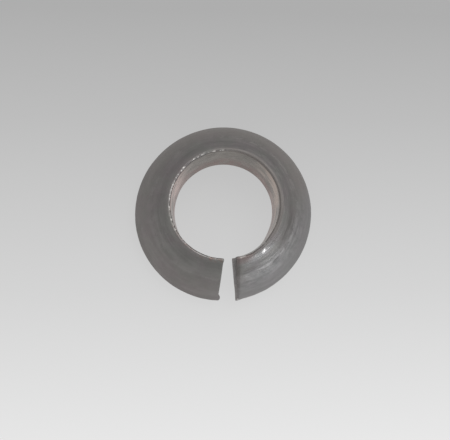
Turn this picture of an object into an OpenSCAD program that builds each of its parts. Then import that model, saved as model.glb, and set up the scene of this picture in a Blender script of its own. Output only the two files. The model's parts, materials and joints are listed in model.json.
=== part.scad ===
// Split spring lock washer with a ball-shaped seat face.
// Units are millimetres, +Z is up, and the origin is on the bore's axis at the lowest point of the base.

/* [Ring] */
// Diameter of the bore
bore_diameter = 20.5; // [12:0.5:28]
// Outside diameter of the ring
outer_diameter = 36; // [32:0.5:60]
// Height of the ring's section beside the bore
nose_height = 8.5; // [6:0.1:12]
// Height of the straight wall at the outside
rim_height = 2.2; // [1:0.1:4]

/* [Edges] */
// Radius that blends the ball face into the bore and into the rim
edge_radius = 0.4; // [0.2:0.05:0.6]
// Chamfer at both edges of the base
base_chamfer = 0.3; // [0.1:0.05:0.5]

/* [Cut and spring] */
// Width of the cut where it leaves the bore
cut_width = 2.3; // [2:0.1:4]
// Angle by which the cut widens outwards
cut_spread = 10; // [2:0.5:20]
// Angle by which the cut is turned off the radius towards the lower end, at most half the spread
cut_turn = 4; // [0:0.5:10]
// Angle by which the cut leans from the axis
cut_lean = 2.5; // [0:0.5:6]
// Height of the upper end above the lower end when nothing presses on the washer
end_offset = 0.8; // [0.2:0.1:3]

/* [Hidden] */

// Sections the ring is swept through, and steps along each of its curves
sweep_steps = 90;
ball_steps = 6;
nose_steps = 4;
rim_steps = 3;
round_fn = 180;
// How far the bore and the cut run past the ring
overshoot = 1;

bore_r = bore_diameter / 2;
outer_r = outer_diameter / 2;
middle_r = (bore_r + outer_r) / 2;

// Stock left inside the bore, which is then cut to a true cylinder
stock = 0.6;
// The nose rounding stops this far short of tangent to the bore, and just outside it
meet_angle = 30;
meet_gap = edge_radius / 10;
// A straight flank carries the rounding on through the stock
flank_drop = stock / tan(meet_angle);

// Centres of the roundings at the nose and the rim, which lie on one circle about the ball's centre
nose_centre = [bore_r + edge_radius * cos(meet_angle) + meet_gap, nose_height - edge_radius];
rim_centre = [outer_r - edge_radius, rim_height];
ball_z = (nose_centre * nose_centre - rim_centre * rim_centre) / (2 * (nose_centre[1] - rim_centre[1]));
ball_centre = [0, ball_z];
ball_r = norm(nose_centre - ball_centre) + edge_radius;
nose_angle = atan2(nose_centre[1] - ball_z, nose_centre[0]);
rim_angle = atan2(rim_centre[1] - ball_z, rim_centre[0]);

// Half the cut, as an angle at the ring's middle
cut_half_angle = asin((cut_width / 2 + (middle_r - bore_r) * tan(cut_spread / 2)) / middle_r);
// Half of what the sweep itself leaves open, well inside the cut
open_half_angle = 0.5;

function arc(centre, radius, from, to, steps, first, last) = [
    for (i = [first : last])
        let (angle = from + (to - from) * i / steps)
        centre + radius * [cos(angle), sin(angle)]
];

nose_arc = arc(nose_centre, edge_radius, nose_angle, 180 - meet_angle, nose_steps, 0, nose_steps);

// The ring's section, as [radius, height], once around from the bottom of the bore
section = concat(
    [
        [bore_r - stock, base_chamfer + stock],
        [bore_r + base_chamfer, 0],
        [outer_r - base_chamfer, 0],
        [outer_r, base_chamfer]
    ],
    arc(rim_centre, edge_radius, 0, rim_angle, rim_steps, 0, rim_steps),
    arc(ball_centre, ball_r, rim_angle, nose_angle, ball_steps, 1, ball_steps - 1),
    nose_arc,
    [nose_arc[nose_steps] - [stock, flank_drop]]
);

// Angle of one section, measured clockwise from the cut as seen from above
function turn(i) = open_half_angle + (360 - 2 * open_half_angle) * i / sweep_steps;

// How far the coil has climbed at an angle: level up to the lower end, then evenly up to the upper end
function climb(angle) = end_offset * min(1, max(0, (angle - cut_half_angle) / (360 - 2 * cut_half_angle)));

module coiled_ring() {
    count = len(section);
    points = [
        for (i = [0 : sweep_steps])
            for (p = section)
                [-p[0] * sin(turn(i)), -p[0] * cos(turn(i)), p[1] + climb(turn(i))]
    ];
    sides = [
        for (i = [0 : sweep_steps - 1])
            for (j = [0 : count - 1])
                let (a = i * count + j, b = i * count + (j + 1) % count)
                each [[a, a + count, b + count], [a, b + count, b]]
    ];
    lower_end = [for (j = [0 : count - 1]) j];
    upper_end = [for (j = [count - 1 : -1 : 0]) sweep_steps * count + j];
    polyhedron(points = points, faces = concat(sides, [lower_end, upper_end]), convexity = 6);
}

module bore() {
    translate([0, 0, -overshoot])
        cylinder(r = bore_r, h = nose_height + end_offset + 2 * overshoot, $fn = round_fn);
}

// A wedge that leaves the bore's wall at mid-height, turned and leaning about that point
module cut() {
    inward = stock + overshoot;
    outward = outer_r - bore_r + 2 * overshoot;
    near_half = cut_width / 2 - inward * tan(cut_spread / 2);
    far_half = cut_width / 2 + outward * tan(cut_spread / 2);
    translate([0, -bore_r, nose_height / 2])
        rotate([0, cut_lean, 0])
            rotate([0, 0, -min(cut_turn, cut_spread / 2)])
                linear_extrude(height = 2 * nose_height, center = true)
                    polygon([
                        [-near_half, inward],
                        [near_half, inward],
                        [far_half, -outward],
                        [-far_half, -outward]
                    ]);
}

module lock_washer() {
    color([0.27, 0.26, 0.25])
        difference() {
            coiled_ring();
            bore();
            cut();
        }
}

lock_washer();
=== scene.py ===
"""Split spring lock washer with a ball-shaped seat face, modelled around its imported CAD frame."""

import json
import math
from types import SimpleNamespace

import bmesh
import bpy
from mathutils import Matrix, Vector

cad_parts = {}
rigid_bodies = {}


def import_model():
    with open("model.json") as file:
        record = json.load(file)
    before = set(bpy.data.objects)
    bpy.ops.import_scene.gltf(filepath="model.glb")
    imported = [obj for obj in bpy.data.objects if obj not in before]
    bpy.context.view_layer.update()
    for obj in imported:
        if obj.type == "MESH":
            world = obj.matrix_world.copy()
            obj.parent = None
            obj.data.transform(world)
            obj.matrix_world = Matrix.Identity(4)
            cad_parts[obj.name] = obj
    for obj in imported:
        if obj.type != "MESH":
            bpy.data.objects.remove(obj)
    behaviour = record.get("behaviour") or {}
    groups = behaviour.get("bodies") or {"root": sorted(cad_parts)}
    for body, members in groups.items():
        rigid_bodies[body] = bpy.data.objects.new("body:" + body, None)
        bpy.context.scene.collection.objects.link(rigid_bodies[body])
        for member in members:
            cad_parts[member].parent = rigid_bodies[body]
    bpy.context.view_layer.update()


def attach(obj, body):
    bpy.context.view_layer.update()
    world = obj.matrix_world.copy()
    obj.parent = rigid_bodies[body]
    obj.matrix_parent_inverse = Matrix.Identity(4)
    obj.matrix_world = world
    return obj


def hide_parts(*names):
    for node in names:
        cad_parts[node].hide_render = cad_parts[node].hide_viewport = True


bl_info = {
    "name": "Spring Lock Washer",
    "version": (1, 0, 0),
    "blender": (4, 5, 0),
    "location": "View3D > Sidebar > Washer",
    "description": "Models a split spring lock washer with a ball-shaped seat face, and its stage",
    "category": "Object",
}

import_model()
FULL_TURN = 2 * math.pi


# Sizes and colours that a user would change


class WasherSizes(bpy.types.PropertyGroup):
    """Sizes of the washer's body."""

    bore_radius: bpy.props.FloatProperty(
        name="Bore radius", description="Radius of the straight bore",
        default=0.01025, unit="LENGTH", precision=5,
    )
    outer_radius: bpy.props.FloatProperty(
        name="Outer radius", description="Radius of the rim",
        default=0.018, unit="LENGTH", precision=5,
    )
    nose_height: bpy.props.FloatProperty(
        name="Nose height", description="Height of the section beside the bore",
        default=0.0085, unit="LENGTH", precision=5,
    )
    rim_height: bpy.props.FloatProperty(
        name="Rim height", description="Height of the straight outside wall",
        default=0.0022, unit="LENGTH", precision=5,
    )
    edge_radius: bpy.props.FloatProperty(
        name="Edge radius", description="Rounding between the ball face and the bore and rim",
        default=0.0004, unit="LENGTH", precision=5,
    )
    base_chamfer: bpy.props.FloatProperty(
        name="Base chamfer", description="Chamfer at both edges of the base",
        default=0.0003, unit="LENGTH", precision=5,
    )
    cut_width: bpy.props.FloatProperty(
        name="Cut width", description="Width of the cut where it leaves the bore",
        default=0.0023, unit="LENGTH", precision=5,
    )
    cut_spread: bpy.props.FloatProperty(
        name="Cut spread", description="Angle by which the cut widens outwards",
        default=math.radians(10), unit="ROTATION",
    )
    cut_turn: bpy.props.FloatProperty(
        name="Cut turn", description="Angle by which the cut is turned off the radius",
        default=math.radians(4), unit="ROTATION",
    )
    cut_lean: bpy.props.FloatProperty(
        name="Cut lean", description="Angle by which the cut leans from the axis",
        default=math.radians(2.5), unit="ROTATION",
    )
    end_offset: bpy.props.FloatProperty(
        name="End offset", description="Height of the upper end above the lower end",
        default=0.0008, unit="LENGTH", precision=5,
    )
    lower_rounding: bpy.props.FloatProperty(
        name="Lower rounding", description="Rounding around the lower cut end",
        default=0.00014, unit="LENGTH", precision=5,
    )
    upper_rounding: bpy.props.FloatProperty(
        name="Upper rounding", description="Rounding around the upper cut end, which is sharper",
        default=0.00005, unit="LENGTH", precision=5,
    )
    drawn_depth: bpy.props.FloatProperty(
        name="Drawn depth", description="How far the shear rolled the ball face down at the upper end",
        default=0.00034, unit="LENGTH", precision=5,
    )
    drawn_width: bpy.props.FloatProperty(
        name="Drawn width", description="How far that roll reaches back from the upper end",
        default=0.00043, unit="LENGTH", precision=5,
    )
    ovality: bpy.props.FloatProperty(
        name="Ovality", description="How far the coil is from round, as a share of its radius",
        default=0.0077, precision=4,
    )
    oval_angle: bpy.props.FloatProperty(
        name="Oval angle", description="Direction of the coil's longest radius",
        default=math.radians(49.2), unit="ROTATION",
    )


class WasherFinish(bpy.types.PropertyGroup):
    """Colours of the washer's steel."""

    seat_colour: bpy.props.FloatVectorProperty(
        name="Seat colour", description="Hardened steel of the ball face, rim and base",
        subtype="COLOR", default=(0.214, 0.204, 0.199), min=0, max=1,
    )
    bore_colour: bpy.props.FloatVectorProperty(
        name="Bore colour", description="Bare turned steel of the bore",
        subtype="COLOR", default=(0.3, 0.277, 0.254), min=0, max=1,
    )
    worn_colour: bpy.props.FloatVectorProperty(
        name="Worn colour", description="Bright steel where edges have rubbed",
        subtype="COLOR", default=(0.8, 0.77, 0.74), min=0, max=1,
    )
    # Painted sheen: the lighter, pinkish colour that is painted on the bore's left and right sides
    bore_sheen_colour: bpy.props.FloatVectorProperty(
        name="Rubbed colour", description="Where the bore's sides were rubbed by a stud",
        subtype="COLOR", default=(0.62, 0.54, 0.5), min=0, max=1,
    )
    stain_colour: bpy.props.FloatVectorProperty(
        name="Stain colour", description="Pinkish rust stain at the foot of the bore",
        subtype="COLOR", default=(0.33, 0.23, 0.215), min=0, max=1,
    )
    heat_colour: bpy.props.FloatVectorProperty(
        name="Heat tint", description="Brown tint beside the bore and the cut",
        subtype="COLOR", default=(0.2, 0.12, 0.1), min=0, max=1,
    )


class WasherStage(bpy.types.PropertyGroup):
    """Camera, lamps and floor."""

    lens: bpy.props.FloatProperty(
        name="Lens", description="Focal length of the camera",
        default=27.507, unit="CAMERA",
    )
    distance: bpy.props.FloatProperty(
        name="Distance", description="From the camera to the nose circle's centre",
        default=0.0646, unit="LENGTH", precision=5,
    )
    elevation: bpy.props.FloatProperty(
        name="Elevation", description="Camera's angle above the floor",
        default=math.radians(76.84), unit="ROTATION",
    )
    azimuth: bpy.props.FloatProperty(
        name="Azimuth", description="Camera's angle round the washer",
        default=math.radians(-15.23), unit="ROTATION",
    )
    roll: bpy.props.FloatProperty(
        name="Roll", description="Camera's turn about its own line of sight",
        default=math.radians(11.52), unit="ROTATION",
    )
    key_power: bpy.props.FloatProperty(
        name="Key light", description="Power of the small lamp that gives the glints",
        default=0.029, unit="POWER",
    )
    side_power: bpy.props.FloatProperty(
        name="Side light", description="Power of the wide low lamp at the right",
        default=0.25, unit="POWER",
    )
    top_power: bpy.props.FloatProperty(
        name="Top light", description="Power of the wide high lamp",
        default=0.85, unit="POWER",
    )
    room_level: bpy.props.FloatProperty(
        name="Room light", description="Strength of the even light all round",
        default=0.63,
    )


# Mesh helpers


def deselect_all():
    for thing in bpy.context.view_layer.objects:
        thing.select_set(False)


def start_object(name):
    """A plane shrunk to one vertex at the origin, left in edit mode as the first point of an outline."""
    deselect_all()
    bpy.ops.mesh.primitive_plane_add(size=0.001)
    piece = bpy.context.object
    piece.name = name
    piece.data.name = name
    bpy.ops.object.mode_set(mode="EDIT")
    bpy.ops.mesh.select_mode(type="VERT")
    bpy.ops.mesh.select_all(action="SELECT")
    bpy.ops.mesh.merge(type="CENTER")
    return piece


def select_parts(piece, kind, wanted):
    """Selects the vertices or faces that meet a test, and nothing else."""
    bpy.ops.mesh.select_all(action="DESELECT")
    shape = bmesh.from_edit_mesh(piece.data)
    shape.normal_update()
    found = [part for part in getattr(shape, kind) if wanted(part)]
    if not found:
        raise RuntimeError(f"{piece.name}: nothing of its {kind} was found there")
    for part in found:
        part.select_set(True)
    shape.select_flush_mode()
    bmesh.update_edit_mesh(piece.data)


def pick_verts(piece, wanted):
    """Selects the vertices whose place meets a test."""
    select_parts(piece, "verts", lambda part: wanted(part.co))


def pick_faces(piece, wanted):
    """Selects the faces whose centre and normal meet a test."""
    select_parts(piece, "faces", lambda part: wanted(part.calc_center_median(), part.normal))


def extrude_to(step, pieces):
    """Carries the selected outline point on by a step, in equal pieces."""
    for _ in range(pieces):
        bpy.ops.mesh.extrude_region_move(TRANSFORM_OT_translate={"value": step / pieces})


def spin_about(centre, angle, steps):
    """Carries the selected outline point round an arc in its plane, clockwise for a positive angle."""
    bpy.ops.mesh.spin(steps=steps, angle=angle, center=centre, axis=(0, -1, 0))


def move_softly(step, reach, falloff):
    """Moves what is selected by a step, and the surface beside it by less and less over a reach."""
    bpy.ops.transform.translate(
        value=step,
        use_proportional_edit=True,
        proportional_edit_falloff=falloff,
        proportional_size=reach,
        use_proportional_connected=True,
    )


def apply_modifier(kind, **values):
    bpy.ops.object.modifier_add(type=kind)
    modifier = bpy.context.object.modifiers[-1]
    for key, value in values.items():
        setattr(modifier, key, value)
    bpy.ops.object.modifier_apply(modifier=modifier.name)


# Body


# The sweep leaves this angle open on either side of the cut's middle, and is then trimmed to the cut's faces
SWEEP_STEPS = 350
OPEN_ANGLE = math.radians(2.5)

# From the cut's middle to each finished end; between the two the coil climbs by the end offset
FIRST_END = math.radians(6.05)

# How far from the cut's middle the steel still counts as an end of the coil
END_REACH = 0.006

# How near a place must lie to a plane to be on it
ON_PLANE = 1e-6

# Rows of vertices where the shear rolled the ball face down, as shares of the drawn width from the end
DRAWN_ROWS = (1.0, 0.75, 0.52, 0.34, 0.2, 0.09, 0.0)

# Rings inside the lower end's face, each a share of the one before
FACE_RINGS = (0.94, 0.92, 0.88, 0.8, 0.6)

# Where cropping, handling and wear left the ends out of true: point, core, reach and step
END_MARKS = (
    # Lower end: a lip at the bore, a dubbed corner and a small bulge beside it
    ((-0.00115, -0.0104, 0.0083), 0.0003, 0.0007, (0.00008, -0.00004, 0)),
    ((-0.0021, -0.0165, 0.0002), 0.0007, 0.0028, (-0.00032, 0, 0)),
    ((-0.0026, -0.0178, 0.0008), 0.0005, 0.0012, (-0.0003, 0.0002, 0)),
    ((-0.0023, -0.0174, 0.0027), 0.0003, 0.0008, (0.00042, 0, 0)),
    # Upper end: the bore behind it pushed out at the nose and at the foot
    ((0.0032, -0.0098, 0.0091), 0.0005, 0.0018, (0, -0.00018, 0)),
    ((0.0054, -0.0089, 0.0090), 0.0006, 0.0034, (0.00012, -0.00019, 0)),
    ((0.0056, -0.0087, 0.0015), 0.0013, 0.0044, (0.00011, -0.00016, 0)),
    # A tongue at the foot of the upper end and a spur at its rim
    ((0.0010, -0.0102, 0.0012), 0.0004, 0.0035, (0, 0.00025, 0)),
    ((0.0011, -0.0179, 0.0014), 0.0005, 0.0016, (-0.00006, -0.00025, 0)),
)


def climb_rate(sizes):
    """How far the coil rises for each radian, clockwise as seen from above."""
    return sizes.end_offset / (FULL_TURN - 2 * FIRST_END)


def draw_section(sizes):
    """Draws the closed outline of the ring's section in the XZ plane, once round from the bore's foot."""
    edge = sizes.edge_radius
    chamfer = sizes.base_chamfer
    nose = Vector((sizes.bore_radius + edge, 0, sizes.nose_height - edge))
    rim = Vector((sizes.outer_radius - edge, 0, sizes.rim_height))
    ball = Vector((0, 0, (nose.length_squared - rim.length_squared) / (2 * (nose.z - rim.z))))
    nose_angle = math.atan2(nose.z - ball.z, nose.x)
    rim_angle = math.atan2(rim.z - ball.z, rim.x)

    bpy.ops.transform.translate(value=(sizes.bore_radius, 0, chamfer))
    extrude_to(Vector((0, 0, nose.z - chamfer)), 34)
    spin_about(nose, math.pi - nose_angle, 8)
    spin_about(ball, nose_angle - rim_angle, 44)
    spin_about(rim, rim_angle, 6)
    extrude_to(Vector((0, 0, chamfer - rim.z)), 9)
    extrude_to(Vector((-chamfer, 0, -chamfer)), 2)
    extrude_to(Vector((sizes.bore_radius - sizes.outer_radius + 2 * chamfer, 0, 0)), 20)
    extrude_to(Vector((-chamfer, 0, chamfer)), 2)
    bpy.ops.mesh.select_all(action="SELECT")
    bpy.ops.mesh.remove_doubles(threshold=0.000005)


def sweep_section(piece, sizes):
    """Sweeps the section round the axis, clockwise from just inside the cut, which faces -Y."""
    climb = climb_rate(sizes)
    sweep = FULL_TURN - 2 * OPEN_ANGLE
    bpy.ops.object.mode_set(mode="OBJECT")
    piece.rotation_euler = (0, 0, -math.pi / 2 - OPEN_ANGLE)
    piece.location = (0, 0, climb * (OPEN_ANGLE - FIRST_END))
    bpy.ops.object.transform_apply(location=True, rotation=True, scale=True)
    apply_modifier(
        "SCREW",
        angle=-sweep,
        screw_offset=climb * sweep,
        steps=SWEEP_STEPS,
        render_steps=SWEEP_STEPS,
        use_merge_vertices=False,
        use_smooth_shade=True,
    )
    bpy.ops.object.mode_set(mode="EDIT")
    bpy.ops.mesh.select_all(action="SELECT")
    bpy.ops.mesh.normals_make_consistent(inside=False)


def make_oval(piece, sizes):
    """Stretches the coil slightly along one direction and squeezes it across."""
    bpy.ops.object.mode_set(mode="OBJECT")
    piece.rotation_euler.z = -sizes.oval_angle
    bpy.ops.object.transform_apply(location=False, rotation=True, scale=False)
    piece.scale = (1 + sizes.ovality, 1 - sizes.ovality, 1)
    bpy.ops.object.transform_apply(location=False, rotation=False, scale=True)
    piece.rotation_euler.z = sizes.oval_angle
    bpy.ops.object.transform_apply(location=False, rotation=True, scale=False)
    bpy.ops.object.mode_set(mode="EDIT")


def end_plane(sizes, side):
    """A point on one face of the cut and the direction out of the steel; side is -1 at the lower end."""
    turn = Matrix.Rotation(sizes.cut_lean, 3, "Y") @ Matrix.Rotation(-sizes.cut_turn, 3, "Z")
    middle = Vector((0, -sizes.bore_radius, sizes.nose_height / 2))
    point = middle + turn @ Vector((side * sizes.cut_width / 2, 0, 0))
    out = turn @ Vector((-side, -math.tan(sizes.cut_spread / 2), 0)).normalized()
    return point, out


def in_plane(c, point, out):
    """Whether a place near the cut lies on the plane through a point."""
    return abs((c - point).dot(out)) < ON_PLANE and c.y < 0


def pick_end(piece, side):
    """Selects the faces of the coil on one side of the cut."""
    pick_faces(piece, lambda c, n: c.y < 0 and 0 < c.x * side < END_REACH)


def draw_down_edge(piece, sizes):
    """Rolls the ball face down along the upper end, as a shear does on the side it starts from."""
    point, out = end_plane(sizes, 1)
    edge = point - out * sizes.upper_rounding
    for share in DRAWN_ROWS:
        pick_end(piece, 1)
        row = edge - out * sizes.drawn_width * share
        bpy.ops.mesh.bisect(plane_co=row, plane_no=out, threshold=ON_PLANE)
    nose_flank = sizes.bore_radius + sizes.edge_radius * 1.5
    rim_flank = sizes.outer_radius - sizes.edge_radius * 0.5
    foot = sizes.rim_height + sizes.end_offset * 0.5

    def on_edge(c):
        return in_plane(c, edge, out) and nose_flank < c.xy.length < rim_flank and c.z > foot

    pick_verts(piece, on_edge)
    move_softly((0, 0, -sizes.drawn_depth), sizes.drawn_width, "LINEAR")


def trim_end(piece, sizes, side):
    """Cuts one end of the coil to its leaning plane and rolls the edge round the new face."""
    point, out = end_plane(sizes, side)
    rounding = sizes.upper_rounding if side > 0 else sizes.lower_rounding
    start = point - out * rounding
    pick_end(piece, side)
    bpy.ops.mesh.bisect(plane_co=start, plane_no=out, use_fill=True, clear_outer=True, threshold=ON_PLANE)
    # Edges too short for the rounding are merged away round the new face
    pick_verts(piece, lambda c: in_plane(c, start, out))
    bpy.ops.mesh.remove_doubles(threshold=0.00004)
    # The new face alone, without slivers of the sides that lie as near to its plane
    pick_faces(piece, lambda c, n: in_plane(c, start, out) and abs(n.dot(out)) > 0.9)
    steps = 4
    for i in range(steps):
        a = math.pi / 2 * i / steps
        b = math.pi / 2 * (i + 1) / steps
        bpy.ops.mesh.inset(
            thickness=rounding * (math.cos(a) - math.cos(b)),
            depth=rounding * (math.sin(b) - math.sin(a)),
            use_boundary=True,
            use_even_offset=True,
        )


def ring_lower_end(sizes):
    """Adds rings inside the lower end's selected face, so that lumps at its edge die away smoothly."""
    point, out = end_plane(sizes, -1)
    middle = Vector((0, -(sizes.bore_radius + sizes.outer_radius) / 2, sizes.nose_height * 0.4))
    middle -= out * (middle - point).dot(out)
    for share in FACE_RINGS:
        bpy.ops.mesh.extrude_region_move(TRANSFORM_OT_translate={"value": (0, 0, 0)})
        bpy.ops.transform.resize(value=(share, share, share), center_override=middle)
    bpy.ops.mesh.poke()


def push_lump(piece, at, core, reach, step):
    """Moves the surface near a point by a step that fades out over a reach."""
    pick_verts(piece, lambda c: (c - at).length < core)
    move_softly(step, reach, "SMOOTH")


def group_nose(piece, sizes):
    """Puts the rubbed side of the nose's rounding in a vertex group of its own."""
    foot = sizes.nose_height - sizes.edge_radius * 1.5
    reach = sizes.bore_radius + sizes.edge_radius * 1.6
    pick_verts(piece, lambda c: c.xy.length < reach and c.z > foot and c.x < 0)
    bpy.ops.object.vertex_group_add()
    bpy.ops.object.vertex_group_assign()
    piece.vertex_groups.active.name = "nose"


def roughen(name, grain, strength, group=""):
    """Moves the surface in and out a little, over lumps of a given size."""
    texture = bpy.data.textures.new(name, "CLOUDS")
    texture.noise_scale = grain
    texture.noise_depth = 2
    apply_modifier(
        "DISPLACE",
        texture=texture,
        texture_coords="LOCAL",
        strength=strength,
        mid_level=0.5,
        vertex_group=group,
    )


class WASHER_OT_body(bpy.types.Operator):
    """Model the coiled washer body with its cut, rolled edges, lips and burrs"""

    bl_idname = "washer.body"
    bl_label = "Washer Body"

    def execute(self, context):
        sizes = context.scene.washer_sizes
        piece = start_object("washer_body")
        draw_section(sizes)
        sweep_section(piece, sizes)
        make_oval(piece, sizes)
        draw_down_edge(piece, sizes)
        trim_end(piece, sizes, -1)
        ring_lower_end(sizes)
        trim_end(piece, sizes, 1)
        for at, core, reach, step in END_MARKS:
            push_lump(piece, Vector(at), core, reach, step)
        group_nose(piece, sizes)
        bpy.ops.mesh.select_all(action="SELECT")
        bpy.ops.mesh.normals_make_consistent(inside=False)
        bpy.ops.object.mode_set(mode="OBJECT")
        roughen("forge_waves", 0.005, 0.00007)
        roughen("nose_nicks", 0.0007, 0.00009, "nose")
        bpy.ops.object.shade_smooth_by_angle(angle=math.radians(30))

        finish_steel(piece, sizes, context.scene.washer_finish)
        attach(piece, "root")
        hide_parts("lock_washer")
        return {"FINISHED"}


# Node helpers


def fill(tree, socket, value):
    """Links another node's output to a socket, or gives it a plain value."""
    if isinstance(value, bpy.types.NodeSocket):
        tree.links.new(value, socket)
    else:
        socket.default_value = value


def add(tree, kind, inputs=None, **settings):
    """Adds a node, sets its options, then fills its inputs by name or number."""
    made = tree.nodes.new(kind)
    for key, value in settings.items():
        setattr(made, key, value)
    for key, value in (inputs or {}).items():
        fill(tree, made.inputs[key], value)
    return made


def calc(tree, operation, *values, clamp=False):
    """A Math node's result."""
    inputs = dict(enumerate(values))
    return add(tree, "ShaderNodeMath", inputs, operation=operation, use_clamp=clamp).outputs[0]


def dot(tree, place, direction):
    """How far a place lies along a direction."""
    inputs = {0: place, 1: direction}
    return add(tree, "ShaderNodeVectorMath", inputs, operation="DOT_PRODUCT").outputs["Value"]


def chain(tree, operation, values):
    """The result of a Math node's operation taken along any number of values."""
    total = values[0]
    for value in values[1:]:
        total = calc(tree, operation, total, value)
    return total


def times(tree, *values):
    return chain(tree, "MULTIPLY", values)


def plus(tree, *values):
    return chain(tree, "ADD", values)


def most(tree, *values):
    return chain(tree, "MAXIMUM", values)


def opposite(tree, value):
    """One where the value is zero, and zero where it is one."""
    return calc(tree, "SUBTRACT", 1.0, value)


def weigh(tree, *pairs):
    """The sum of several values, each with its own weight."""
    return plus(tree, *(times(tree, value, weight) for value, weight in pairs))


def ramp(tree, value, low, high, to_low=0.0, to_high=1.0):
    """A value spread smoothly from one range to another and held at its ends; low may be above high."""
    inputs = {"Value": value, "From Min": low, "From Max": high, "To Min": to_low, "To Max": to_high}
    return add(tree, "ShaderNodeMapRange", inputs, interpolation_type="SMOOTHSTEP").outputs["Result"]


def band(tree, value, start, full, fade, end):
    """One along a stretch of a value, with a soft slope at either side."""
    return times(tree, ramp(tree, value, start, full), ramp(tree, value, end, fade))


def mix_colour(tree, share, first, second, blend="MIX"):
    """Goes from the first colour to the second by a share."""
    inputs = {0: share, 6: first, 7: second}
    return add(tree, "ShaderNodeMix", inputs, data_type="RGBA", blend_type=blend).outputs[2]


def relief_normal(tree, height, depth):
    """The surface's normal, bent by a relief of a given depth."""
    return add(tree, "ShaderNodeBump", {"Height": height, "Distance": depth}).outputs[0]


def start_group(name, inputs, outputs):
    """An empty shader node group with named sockets; a default that is None makes a vector socket."""
    group = bpy.data.node_groups.new(name, "ShaderNodeTree")
    for key, default in inputs.items():
        kind = "NodeSocketVector" if default is None else "NodeSocketFloat"
        socket = group.interface.new_socket(name=key, in_out="INPUT", socket_type=kind)
        if default is not None:
            socket.default_value = default
    for key, kind in outputs.items():
        group.interface.new_socket(name=key, in_out="OUTPUT", socket_type=f"NodeSocket{kind}")
    entry = group.nodes.new("NodeGroupInput")
    result = group.nodes.new("NodeGroupOutput")
    return group, entry.outputs, result.inputs


def use_group(tree, group, **inputs):
    """Places a node group; an input named edge_radius fills the socket Edge Radius."""
    named = {key.replace("_", " ").title(): value for key, value in inputs.items()}
    return add(tree, "ShaderNodeGroup", named, node_tree=group).outputs


# Shared effects


def coil_place_group(sizes):
    """Where a point of the coil is: its radius, its height above the base there, and the coil laid flat."""
    group, given, result = start_group(
        "coil_place", {"Position": None}, {"Radius": "Float", "Height": "Float", "Strip": "Vector"}
    )
    flat = add(group, "ShaderNodeVectorMath", {0: given["Position"], 1: (1, 1, 0)}, operation="MULTIPLY")
    radius = add(group, "ShaderNodeVectorMath", {0: flat.outputs[0]}, operation="LENGTH").outputs["Value"]
    part = add(group, "ShaderNodeSeparateXYZ", {0: given["Position"]}).outputs
    # The angle is clockwise from the cut
    turned = calc(group, "ARCTAN2", times(group, part["X"], -1.0), times(group, part["Y"], -1.0))
    angle = calc(group, "WRAP", turned, FULL_TURN, 0.0)
    risen = times(group, calc(group, "SUBTRACT", angle, FIRST_END), climb_rate(sizes))
    height = calc(group, "SUBTRACT", part["Z"], risen)
    strip = add(group, "ShaderNodeCombineXYZ", {0: radius, 1: angle, 2: height}).outputs[0]
    for key, value in (("Radius", radius), ("Height", height), ("Strip", strip)):
        group.links.new(value, result[key])
    return group


def turned_lines_group():
    """Fine lines that run round the coil, as a turning tool leaves them."""
    group, given, result = start_group(
        "turned_lines",
        {"Strip": None, "Spacing": 0.0004, "Run": 0.5, "Shift": 0.0, "Break Up": 0.5},
        {"Value": "Float"},
    )
    part = add(group, "ShaderNodeSeparateXYZ", {0: given["Strip"]}).outputs
    across = calc(group, "DIVIDE", part["X"], given["Spacing"])
    along = plus(group, calc(group, "DIVIDE", part["Y"], given["Run"]), given["Shift"])
    upward = calc(group, "DIVIDE", part["Z"], given["Spacing"])
    place = add(group, "ShaderNodeCombineXYZ", {0: across, 1: along, 2: upward}).outputs[0]
    inputs = {"Vector": place, "Scale": 1.0, "Detail": 3.0, "Roughness": given["Break Up"]}
    lines = add(group, "ShaderNodeTexNoise", inputs).outputs[0]
    group.links.new(ramp(group, lines, 0.25, 0.75), result["Value"])
    return group


def blotches_group():
    """Soft-edged patches of a given size, as oil and oxide leave them."""
    group, given, result = start_group(
        "blotches",
        {"Position": None, "Size": 0.004, "Low": 0.3, "High": 0.7, "Shift": 0.0},
        {"Value": "Float"},
    )
    inputs = {0: given["Position"], "Scale": calc(group, "DIVIDE", 1.0, given["Size"])}
    scaled = add(group, "ShaderNodeVectorMath", inputs, operation="SCALE").outputs[0]
    step = add(group, "ShaderNodeCombineXYZ", {0: given["Shift"], 2: given["Shift"]}).outputs[0]
    moved = add(group, "ShaderNodeVectorMath", {0: scaled, 1: step}, operation="ADD").outputs[0]
    inputs = {"Vector": moved, "Scale": 1.0, "Detail": 4.0, "Roughness": 0.6}
    noise = add(group, "ShaderNodeTexNoise", inputs).outputs[0]
    group.links.new(ramp(group, noise, given["Low"], given["High"]), result["Value"])
    return group


def edge_wear_group(blotches):
    """Patchy rubbing along an edge that runs round the coil at one radius and height."""
    group, given, result = start_group(
        "edge_wear",
        {
            "Position": None, "Radius": 0.0, "Height": 0.0, "Edge Radius": 0.01, "Edge Height": 0.008,
            "Reach": 0.0004, "Patch Size": 0.001, "Cover": 0.5,
        },
        {"Value": "Float"},
    )
    off_radius = calc(group, "POWER", calc(group, "SUBTRACT", given["Radius"], given["Edge Radius"]), 2.0)
    off_height = calc(group, "POWER", calc(group, "SUBTRACT", given["Height"], given["Edge Height"]), 2.0)
    away = calc(group, "SQRT", plus(group, off_radius, off_height))
    near = calc(group, "SUBTRACT", 1.0, calc(group, "DIVIDE", away, given["Reach"]), clamp=True)
    spots = use_group(group, blotches, position=given["Position"], size=given["Patch Size"])["Value"]
    worn = times(group, near, plus(group, spots, given["Cover"]))
    group.links.new(ramp(group, worn, 0.25, 0.8), result["Value"])
    return group


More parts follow.
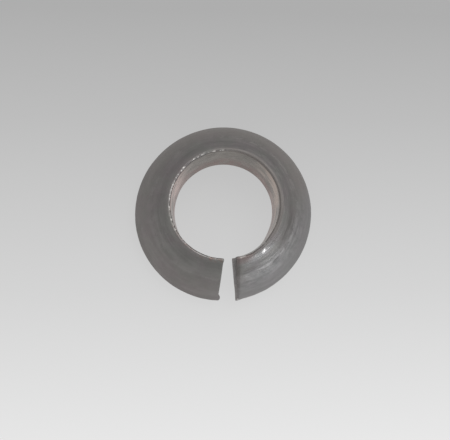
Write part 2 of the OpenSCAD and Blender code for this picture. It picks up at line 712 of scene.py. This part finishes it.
def locate(tree, groups):
    """Where each point lies: in the washer (position, x, y) and along its coil (radius, height, strip)."""
    position = add(tree, "ShaderNodeTexCoord").outputs["Object"]
    part = add(tree, "ShaderNodeSeparateXYZ", {0: position}).outputs
    coil = use_group(tree, groups["place"], position=position)
    return SimpleNamespace(
        position=position, x=part["X"], y=part["Y"],
        radius=coil["Radius"], height=coil["Height"], strip=coil["Strip"],
    )


def patches(tree, groups, position, size, low=0.3, high=0.7, shift=0.0):
    """Blotches of a given size; a shift gives others of the same kind."""
    made = use_group(tree, groups["blotches"], position=position, size=size, low=low, high=high, shift=shift)
    return made["Value"]


def turning(tree, groups, at, spacing, run, break_up=0.5, shift=0.0):
    """Lines round the coil, of a given spacing, each running on for a given angle or so."""
    made = use_group(
        tree, groups["lines"], strip=at.strip, spacing=spacing, run=run, break_up=break_up, shift=shift
    )
    return made["Value"]


def rubbed_edge(tree, groups, at, edge_radius, edge_height, reach, patch_size, cover=0.0):
    """Patchy wear over a reach from the edge at a given radius and height."""
    made = use_group(
        tree, groups["wear"], position=at.position, radius=at.radius, height=at.height,
        edge_radius=edge_radius, edge_height=edge_height, reach=reach, patch_size=patch_size, cover=cover,
    )
    return made["Value"]


def add_rings(tree, radius, *rings):
    """Soft-sided ridges round the axis, each given by its radius and half width."""
    ridges = []
    for middle, half_width in rings:
        away = calc(tree, "ABSOLUTE", calc(tree, "SUBTRACT", radius, middle))
        ridges.append(ramp(tree, away, half_width, 0.0))
    return most(tree, *ridges)


# Steel


def start_steel(name, metallic):
    """A steel material, its node tree and its shader."""
    steel = bpy.data.materials.new(name)
    steel.use_nodes = True
    shader = steel.node_tree.nodes["Principled BSDF"]
    shader.inputs["Metallic"].default_value = metallic
    return steel, steel.node_tree, shader


def colour(value):
    return (*value, 1.0)


def grey(level):
    return (level, level, level, 1.0)


def tinted(value, red, green=None, blue=None):
    """A colour scaled by one factor, or by one for each channel."""
    factors = (red, red if green is None else green, red if blue is None else blue)
    return colour([part * factor for part, factor in zip(value, factors)])


def seat_marks(tree, groups, at):
    """What several effects on the seat share: its patterns, which side of the nose is rubbed, what lies at
    the front, and the front right quarter that is given painted sheen.
    """
    front_right = calc(tree, "SUBTRACT", at.x, at.y)
    # The lip of the nose is rubbed on the left, and less so behind the upper end
    left = times(tree, ramp(tree, at.x, 0.004, -0.003), ramp(tree, at.y, -0.0095, -0.005, 0.35, 1.0))
    by_end = times(tree, ramp(tree, at.y, -0.006, -0.008), ramp(tree, at.x, 0.003, 0.005, 0.0, 0.5))
    return SimpleNamespace(
        broad=patches(tree, groups, at.position, 0.006),
        fine=patches(tree, groups, at.position, 0.0018, shift=3.0),
        mottle=patches(tree, groups, at.position, 0.0011, 0.35, 0.65, shift=17.0),
        lines=turning(tree, groups, at, 0.001, 0.45, break_up=0.4),
        hair=turning(tree, groups, at, 0.00015, 0.3, shift=7.0),
        grooves=turning(tree, groups, at, 0.0005, 0.3, break_up=0.65, shift=13.0),
        front_right=front_right,
        front=ramp(tree, at.y, -0.007, -0.009),
        # The front right quarter, where the lamps fall, which is given painted sheen
        sheen_side=ramp(tree, front_right, 0.013, 0.019, 0.12, 1.0),
        rubbed=most(tree, left, by_end),
    )


def seat_ground(tree, finish, groups, at, marks):
    """The seat's ground colour: oil blotches, turning lines and a thin oxide."""
    tone = weigh(tree, (marks.broad, 0.4), (marks.lines, 0.25), (marks.fine, 0.35))
    shown = mix_colour(tree, tone, tinted(finish.seat_colour, 0.88), tinted(finish.seat_colour, 1.14))
    # The oxide shifts the steel towards green in places and towards violet in others
    film = patches(tree, groups, at.position, 0.0045, shift=21.0)
    tint = mix_colour(tree, film, (0.98, 1.01, 0.985, 1), (1.03, 0.985, 1.015, 1))
    return mix_colour(tree, 1.0, shown, tint, "MULTIPLY")


def paint_seat_light_and_shade(tree, finish, at, marks, shown):
    """Paints light, shade and sheen onto the ball face: lighter towards the rim, darker bands further in,
    and streaks and mottling at the front right.
    """
    # Painted light: the face is painted lighter and browner towards the rim, most at the back right, and
    # lighter and bluer towards the front right, where the lamps fall
    outward = ramp(tree, marks.front_right, 0.01, 0.019)
    round_rim = times(
        tree,
        ramp(tree, at.radius, 0.0125, 0.0165, 0.0, 0.46),
        ramp(tree, plus(tree, at.x, at.y), -0.015, 0.015, 0.4, 1.0),
    )
    painted_light_share = most(tree, round_rim, times(tree, outward, ramp(tree, at.radius, 0.012, 0.0138, 0.0, 0.45)))
    brown = tinted(finish.seat_colour, 1.5, 1.42, 1.36)
    blue = tinted(finish.seat_colour, 1.5, 1.54, 1.6)
    shown = mix_colour(tree, painted_light_share, shown, mix_colour(tree, outward, brown, blue))

    # Painted shade: further in, one band is painted darker at the front right, toning down the lamps' glow
    # there; another band is darker elsewhere
    painted_shade_band = times(tree, outward, band(tree, at.radius, 0.0118, 0.0126, 0.0133, 0.0145))
    shown = mix_colour(tree, painted_shade_band, shown, (0.8, 0.79, 0.78, 1), "MULTIPLY")
    innermost = times(tree, band(tree, at.radius, 0.0108, 0.0115, 0.0122, 0.0135), opposite(tree, outward))
    shown = mix_colour(tree, innermost, shown, grey(0.89), "MULTIPLY")

    # Painted sheen: at the front right, where the lamps fall, the face is painted with light and dark
    # streaks along the turning grooves, and with mottled lighter and darker patches
    streak_sheen = mix_colour(tree, marks.grooves, grey(0.76), grey(1.26))
    streak_sheen_share = times(tree, marks.sheen_side, ramp(tree, at.radius, 0.0142, 0.016, 1.0, 0.25))
    shown = mix_colour(tree, streak_sheen_share, shown, streak_sheen, "MULTIPLY")
    mottled_sheen = mix_colour(tree, marks.mottle, grey(0.92), grey(1.08))
    mottled_sheen_share = times(tree, marks.sheen_side, band(tree, at.radius, 0.0125, 0.0138, 0.0155, 0.0168))
    return mix_colour(tree, mottled_sheen_share, shown, mottled_sheen, "MULTIPLY")


def tint_seat_and_shade_strip(tree, sizes, finish, groups, at, marks, shown):
    """Adds the brown tints of the heat and the shear, and painted shade on the strip that the shear rolled
    down.
    """
    # Heat tint lies beside the bore, mostly near the cut
    heat = rubbed_edge(
        tree, groups, at, sizes.bore_radius, sizes.nose_height, reach=0.0018, patch_size=0.0009
    )
    near_cut = times(tree, ramp(tree, at.y, 0.0, -0.009, 0.1, 0.55), ramp(tree, at.x, 0.0, 0.004, 1.0, 0.2))
    shown = mix_colour(tree, times(tree, heat, near_cut), shown, colour(finish.heat_colour))

    # The shear left a brown tint on the nose behind the upper end
    on_nose = ramp(tree, at.radius, 0.0121, 0.0112)
    behind_end = times(tree, band(tree, at.x, 0.0008, 0.0018, 0.0035, 0.0052), on_nose, marks.front)
    shown = mix_colour(tree, behind_end, shown, tinted(finish.seat_colour, 1.05, 0.92, 0.91))

    # Painted shade: the strip that it rolled down is painted darker, as it slopes away from the lamps
    point, out = end_plane(sizes, 1)
    far_side = point.dot(out) - sizes.drawn_width
    soft = sizes.drawn_width * 0.15
    off_end = dot(tree, at.position, out)
    right = ramp(tree, at.x, -0.0002, 0.0002)
    strip = times(tree, ramp(tree, off_end, far_side - soft, far_side + soft), marks.front, right)
    return mix_colour(tree, strip, shown, (0.82, 0.8, 0.8, 1), "MULTIPLY")


def nose_lip(sizes):
    """The radius and height of the line along which the nose's rounding rubs."""
    return sizes.bore_radius + sizes.edge_radius * 0.35, sizes.nose_height - sizes.edge_radius * 0.2


def scale_on_nose(tree, sizes, groups, at, marks):
    """Where the lip of the nose keeps its dull scale, away from its rubbed side; the same place is given
    painted light.
    """
    lip_radius, lip_height = nose_lip(sizes)
    scale = rubbed_edge(tree, groups, at, lip_radius, lip_height, reach=0.00095, patch_size=0.001, cover=1.0)
    return times(tree, scale, opposite(tree, marks.rubbed), ramp(tree, at.y, -0.0085, -0.0055))


def worn_seat(tree, sizes, groups, at, marks):
    """Where the seat's edges are worn bright: the nose and the rim; and a painted highlight at the upper
    end's corner.
    """
    nose = rubbed_edge(tree, groups, at, *nose_lip(sizes), reach=0.0003, patch_size=0.0006)
    rim_radius = sizes.outer_radius - sizes.edge_radius * 0.15
    rim_height = sizes.rim_height + sizes.edge_radius * 0.2
    rim = rubbed_edge(tree, groups, at, rim_radius, rim_height, reach=0.0003, patch_size=0.0012, cover=0.15)
    # Painted highlight: a bright spot on the upper end's corner beside the bore
    off_corner = calc(tree, "ABSOLUTE", calc(tree, "SUBTRACT", at.x, 0.0026))
    corner = times(
        tree,
        ramp(tree, off_corner, 0.0012, 0.0002),
        ramp(tree, at.radius, 0.0109, 0.0104),
        marks.front,
        ramp(tree, marks.mottle, 0.2, 0.7),
    )
    return most(tree, times(tree, nose, marks.rubbed), times(tree, rim, 0.6), times(tree, corner, 0.8))


def seat_steel(sizes, finish, groups):
    """Dark hardened steel of the ball face, rim and base: turning, blotches, worn edges and heat tint, with
    painted light, shade and sheen.
    """
    steel, tree, shader = start_steel("hardened_seat_steel", 0.85)
    shader.inputs["Anisotropic"].default_value = 0.3
    shader.inputs["Coat Roughness"].default_value = 0.1
    at = locate(tree, groups)
    marks = seat_marks(tree, groups, at)
    shown = seat_ground(tree, finish, groups, at, marks)
    shown = paint_seat_light_and_shade(tree, finish, at, marks, shown)
    shown = tint_seat_and_shade_strip(tree, sizes, finish, groups, at, marks, shown)

    # Painted sheen: a pale band half way out, at the front right, in patches, where the lamps' glints fall
    painted_sheen_band = add_rings(tree, at.radius, (0.0141, 0.0007))
    painted_sheen_band = times(tree, painted_sheen_band, ramp(tree, marks.fine, 0.3, 0.75), marks.sheen_side, 0.45)
    shown = mix_colour(tree, painted_sheen_band, shown, tinted(finish.seat_colour, 2.0, 2.02, 2.06))

    # Painted light: the lip's dull scale is painted pale on both flanks, where the rounding turns away from
    # the lamps, and darker along its top
    dull = scale_on_nose(tree, sizes, groups, at, marks)
    top = ramp(tree, at.height, sizes.nose_height - 0.0003, sizes.nose_height - 0.00005)
    pale = tinted(finish.seat_colour, 1.75, 1.66, 1.6)
    dark = tinted(finish.seat_colour, 1.05, 1.02, 1.0)
    shown = mix_colour(tree, dull, shown, mix_colour(tree, top, pale, dark))
    worn = worn_seat(tree, sizes, groups, at, marks)
    shown = mix_colour(tree, worn, shown, colour(finish.worn_colour))
    tree.links.new(shown, shader.inputs["Base Color"])

    # The tool's deepest ridges lie beside the bore, and their tops are burnished; the ground between is matt
    depth = ramp(tree, at.radius, 0.0115, 0.0145, 0.6, 0.25)
    ridge = times(tree, ramp(tree, marks.lines, 0.45, 0.75), depth)
    rings = add_rings(tree, at.radius, (0.012, 0.00016), (0.01245, 0.00022), (0.0133, 0.0002))
    rings = times(tree, rings, ramp(tree, marks.lines, 0.1, 0.6, 0.2, 0.8))
    middle = times(tree, add_rings(tree, at.radius, (0.0141, 0.0005)), ramp(tree, marks.fine, 0.3, 0.7))
    # The innermost band took a polish from the nut, mostly beside the upper end
    polish_side = ramp(tree, marks.front_right, 0.01, 0.0155, 0.1, 1.0)
    polish = times(tree, band(tree, at.radius, 0.0109, 0.0112, 0.0118, 0.0124), polish_side)
    deep = times(tree, add_rings(tree, at.radius, (0.01155, 0.0005)), polish_side)
    bright = times(tree, most(tree, ridge, rings, deep), ramp(tree, at.y, -0.004, 0.001, 1.0, 0.25))
    tree.links.new(most(tree, polish, times(tree, bright, 0.6)), shader.inputs["Coat Weight"])

    ground = ramp(tree, marks.broad, 0, 1, 0.42, 0.5)
    rough = weigh(tree, (ground, 1.0), (bright, -0.17), (worn, -0.12), (polish, -0.08), (dull, 0.2))
    tree.links.new(rough, shader.inputs["Roughness"])
    relief = weigh(
        tree, (marks.lines, depth), (rings, 0.35), (deep, 0.6), (middle, 1.0), (marks.hair, 0.08),
        (marks.fine, 0.5), (marks.grooves, 0.35),
    )
    tree.links.new(relief_normal(tree, relief, 0.00005), shader.inputs["Normal"])
    return steel


def bore_steel(finish, groups):
    """Bare turned steel of the bore: strong lines round it, painted sheen on two sides and a rust-stained
    foot.
    """
    steel, tree, shader = start_steel("turned_bore_steel", 1.0)
    at = locate(tree, groups)
    broad = patches(tree, groups, at.position, 0.004, shift=11.0)
    spots = patches(tree, groups, at.position, 0.0012, 0.35, 0.65, shift=2.0)
    lines = turning(tree, groups, at, 0.0016, 0.5, break_up=0.6)
    hair = turning(tree, groups, at, 0.0002, 0.35, shift=5.0)
    tone = weigh(tree, (lines, 0.6), (broad, 0.4))
    shown = mix_colour(tree, tone, tinted(finish.bore_colour, 0.72), tinted(finish.bore_colour, 1.3))

    # Painted sheen: the bore's left and right sides are painted lighter and pinker, in bright streaks round
    # it, where grazing reflections fall
    left = ramp(tree, at.x, 0.005, -0.005)
    rubbed = times(
        tree,
        ramp(tree, calc(tree, "ABSOLUTE", at.x), 0.005, 0.0095),
        ramp(tree, lines, 0.25, 0.75, 0.1, 1.0),
        ramp(tree, at.y, 0.0095, 0.003, 0.35, 1.0),
        most(tree, ramp(tree, at.y, -0.004, 0.002, 0.4, 1.0), opposite(tree, left)),
    )
    right_sheen = tinted(finish.bore_sheen_colour, 0.93, 0.88, 0.83)
    left_sheen = tinted(finish.bore_sheen_colour, 1.32, 1.17, 1.17)
    shown = mix_colour(tree, rubbed, shown, mix_colour(tree, left, right_sheen, left_sheen))

    # The stain climbs from the foot in ragged patches
    foot = ramp(tree, at.height, 0.0055, 0.0015)
    stain = times(tree, foot, ramp(tree, spots, 0, 1, 0.3, 0.9))
    shown = mix_colour(tree, stain, shown, colour(finish.stain_colour))
    tree.links.new(shown, shader.inputs["Base Color"])
    tree.links.new(ramp(tree, hair, 0, 1, 0.24, 0.38), shader.inputs["Roughness"])
    relief = weigh(tree, (lines, 1.0), (hair, 0.3))
    tree.links.new(relief_normal(tree, relief, 0.00003), shader.inputs["Normal"])
    return steel


def end_steel(finish, groups):
    """Cropped steel of the two end faces: streaks drawn up the face and a patchy heat tint."""
    steel, tree, shader = start_steel("cropped_end_steel", 0.8)
    shader.inputs["Roughness"].default_value = 0.5
    position = add(tree, "ShaderNodeTexCoord").outputs["Object"]
    drawn = add(tree, "ShaderNodeMapping", {"Vector": position, "Scale": (1, 1600, 260)}).outputs[0]
    streaks = add(tree, "ShaderNodeTexNoise", {"Vector": drawn, "Scale": 1.0, "Detail": 3.0}).outputs[0]
    base = tinted(finish.seat_colour, 0.95)
    bright = tinted(finish.seat_colour, 1.5)
    shown = mix_colour(tree, ramp(tree, streaks, 0.35, 0.75), base, bright)
    heat = times(tree, patches(tree, groups, position, 0.002, 0.35, 0.7, shift=4.0), 0.25)
    shown = mix_colour(tree, heat, shown, tinted(finish.heat_colour, 1.4))
    tree.links.new(shown, shader.inputs["Base Color"])
    tree.links.new(relief_normal(tree, streaks, 0.00006), shader.inputs["Normal"])
    return steel


def finish_steel(piece, sizes, finish):
    """Gives the ball face, the bore and the two ends their own steel."""
    blotches = blotches_group()
    groups = {
        "place": coil_place_group(sizes),
        "lines": turned_lines_group(),
        "blotches": blotches,
        "wear": edge_wear_group(blotches),
    }
    bpy.ops.object.mode_set(mode="EDIT")
    bpy.ops.mesh.select_mode(type="FACE")
    for steel in (seat_steel(sizes, finish, groups), bore_steel(finish, groups), end_steel(finish, groups)):
        piece.data.materials.append(steel)
    bore_limit = sizes.bore_radius + sizes.edge_radius
    end_limit = sizes.lower_rounding * 4
    ends = (end_plane(sizes, -1), end_plane(sizes, 1))

    def in_bore(c, n):
        inward = -(n.x * c.x + n.y * c.y) / c.xy.length
        return c.xy.length < bore_limit and inward > 0.96

    def on_end(c, n):
        return any(
            abs((c - point).dot(out)) < end_limit and n.dot(out) > 0.6 and c.y < 0 for point, out in ends
        )

    for slot, test in ((1, in_bore), (2, on_end)):
        pick_faces(piece, test)
        piece.active_material_index = slot
        bpy.ops.object.material_slot_assign()
    bpy.ops.object.mode_set(mode="OBJECT")


# Stage


# The camera's shift sideways and upwards, as shares of the view's width
CAMERA_SHIFT = (-0.0004, -0.03807)

# How much of the floor's colour is its own glow, where the camera or a shiny surface sees it
FLOOR_GLOW = 0.9

# The floor's grey goes through these levels, each at a share of the way up the camera's view, which is taken
# from this far below the washer's middle to as far above it
FLOOR_REACH = 0.05
FLOOR_GREYS = ((0.0, 0.845), (0.34, 0.665), (0.715, 0.514), (1.0, 0.427))


def camera_axes(stage):
    """The camera's right, up and backward directions."""
    azimuth, roll = stage.azimuth, stage.roll
    out = math.cos(stage.elevation)
    back = Vector((math.sin(azimuth) * out, -math.cos(azimuth) * out, math.sin(stage.elevation)))
    level = Vector((math.cos(azimuth), math.sin(azimuth), 0))
    upright = back.cross(level)
    right = level * math.cos(roll) + upright * math.sin(roll)
    up = upright * math.cos(roll) - level * math.sin(roll)
    return right, up, back


def along_floor(direction):
    """A direction laid flat on the floor."""
    return Vector((direction.x, direction.y, 0)).normalized()


def add_camera(stage, target, right, up, back):
    deselect_all()
    bpy.ops.object.camera_add()
    camera = bpy.context.object
    camera.name = "camera"
    turn = Matrix((right, up, back)).transposed()
    camera.matrix_world = Matrix.Translation(target + back * stage.distance) @ turn.to_4x4()
    camera.data.lens = stage.lens
    camera.data.sensor_width = 36
    camera.data.clip_start = 0.001
    camera.data.shift_x, camera.data.shift_y = CAMERA_SHIFT
    bpy.context.scene.camera = camera


def add_lamp(name, target, way, distance, width, power, tint=(1, 1, 1)):
    """Adds a soft round lamp that faces the target from a direction and a distance."""
    deselect_all()
    bpy.ops.object.light_add(type="AREA", location=target + way.normalized() * distance)
    lamp = bpy.context.object
    lamp.name = name
    lamp.data.name = name
    lamp.data.shape = "DISK"
    lamp.data.size = width
    lamp.data.energy = power
    lamp.data.color = tint
    lamp.rotation_euler = way.to_track_quat("Z", "Y").to_euler()


def paint_floor(floor, up):
    """A pale floor that deepens towards the camera's upper side."""
    paint = bpy.data.materials.new("pale_floor")
    paint.use_nodes = True
    tree = paint.node_tree
    tree.nodes.clear()
    position = add(tree, "ShaderNodeTexCoord").outputs["Object"]
    along = dot(tree, position, along_floor(up))
    inputs = {"Value": along, "From Min": -FLOOR_REACH, "From Max": FLOOR_REACH}
    span = add(tree, "ShaderNodeMapRange", inputs).outputs["Result"]
    shade = add(tree, "ShaderNodeValToRGB", {"Fac": span})
    stops = shade.color_ramp.elements
    stops[0].color = grey(FLOOR_GREYS[0][1])
    stops[1].color = grey(FLOOR_GREYS[-1][1])
    for where, level in FLOOR_GREYS[1:-1]:
        stops.new(where).color = grey(level)
    lit = add(tree, "ShaderNodeBsdfDiffuse", {"Color": shade.outputs["Color"]}).outputs[0]
    glow = add(tree, "ShaderNodeEmission", {"Color": shade.outputs["Color"]}).outputs[0]
    ray = add(tree, "ShaderNodeLightPath").outputs
    seen = times(tree, most(tree, ray["Is Camera Ray"], ray["Is Glossy Ray"]), FLOOR_GLOW)
    mix = add(tree, "ShaderNodeMixShader", {"Fac": seen, 1: lit, 2: glow}).outputs[0]
    add(tree, "ShaderNodeOutputMaterial", {"Surface": mix})
    floor.data.materials.append(paint)


class WASHER_OT_stage(bpy.types.Operator):
    """Set up the floor, the soft lamps and the camera"""

    bl_idname = "washer.stage"
    bl_label = "Stage"

    def execute(self, context):
        stage = context.scene.washer_stage
        target = Vector((0, 0, context.scene.washer_sizes.nose_height))
        right, up, back = camera_axes(stage)
        add_camera(stage, target, right, up, back)

        deselect_all()
        bpy.ops.mesh.primitive_plane_add(size=4)
        floor = context.object
        floor.name = "floor"
        paint_floor(floor, up)

        # The key and side lamps stand at the camera's lower right, and the top lamp at its upper right
        floor_right = along_floor(right)
        floor_up = along_floor(up)
        key_way = right * 0.738 - up * 0.457 + back * 0.505
        side_way = (floor_right - floor_up) * 0.66 + Vector((0, 0, 0.34))
        top_way = floor_right * 0.42 + floor_up * 0.5 + Vector((0, 0, 0.77))
        add_lamp("key_lamp", target, key_way, distance=0.3, width=0.025, power=stage.key_power)
        cool = (0.85, 0.93, 1)
        add_lamp("side_lamp", target, side_way, distance=0.5, width=0.35, power=stage.side_power, tint=cool)
        add_lamp("top_lamp", target, top_way, distance=0.5, width=0.35, power=stage.top_power)

        world = bpy.data.worlds.new("room")
        context.scene.world = world
        world.use_nodes = True
        sky = world.node_tree.nodes["Background"]
        sky.inputs["Color"].default_value = (1, 1, 1, 1)
        sky.inputs["Strength"].default_value = stage.room_level
        context.scene.view_settings.view_transform = "Standard"
        return {"FINISHED"}


# Panel and registration


class WASHER_PT_panel(bpy.types.Panel):
    """Spring lock washer"""

    bl_idname = "WASHER_PT_panel"
    bl_label = "Spring Lock Washer"
    bl_space_type = "VIEW_3D"
    bl_region_type = "UI"
    bl_category = "Washer"

    def draw(self, context):
        layout = self.layout
        for group in ("washer_sizes", "washer_finish", "washer_stage"):
            box = layout.box()
            settings = getattr(context.scene, group)
            for key in settings.__annotations__:
                box.prop(settings, key)
        for operator in OPERATORS:
            layout.operator(operator.bl_idname)


OPERATORS = (WASHER_OT_body, WASHER_OT_stage)
CLASSES = (WasherSizes, WasherFinish, WasherStage, *OPERATORS, WASHER_PT_panel)


def register():
    for cls in CLASSES:
        bpy.utils.register_class(cls)
    bpy.types.Scene.washer_sizes = bpy.props.PointerProperty(type=WasherSizes)
    bpy.types.Scene.washer_finish = bpy.props.PointerProperty(type=WasherFinish)
    bpy.types.Scene.washer_stage = bpy.props.PointerProperty(type=WasherStage)


def unregister():
    del bpy.types.Scene.washer_stage
    del bpy.types.Scene.washer_finish
    del bpy.types.Scene.washer_sizes
    for cls in reversed(CLASSES):
        bpy.utils.unregister_class(cls)


def main():
    register()
    bpy.ops.washer.body()
    bpy.ops.washer.stage()


if __name__ == "__main__":
    main()
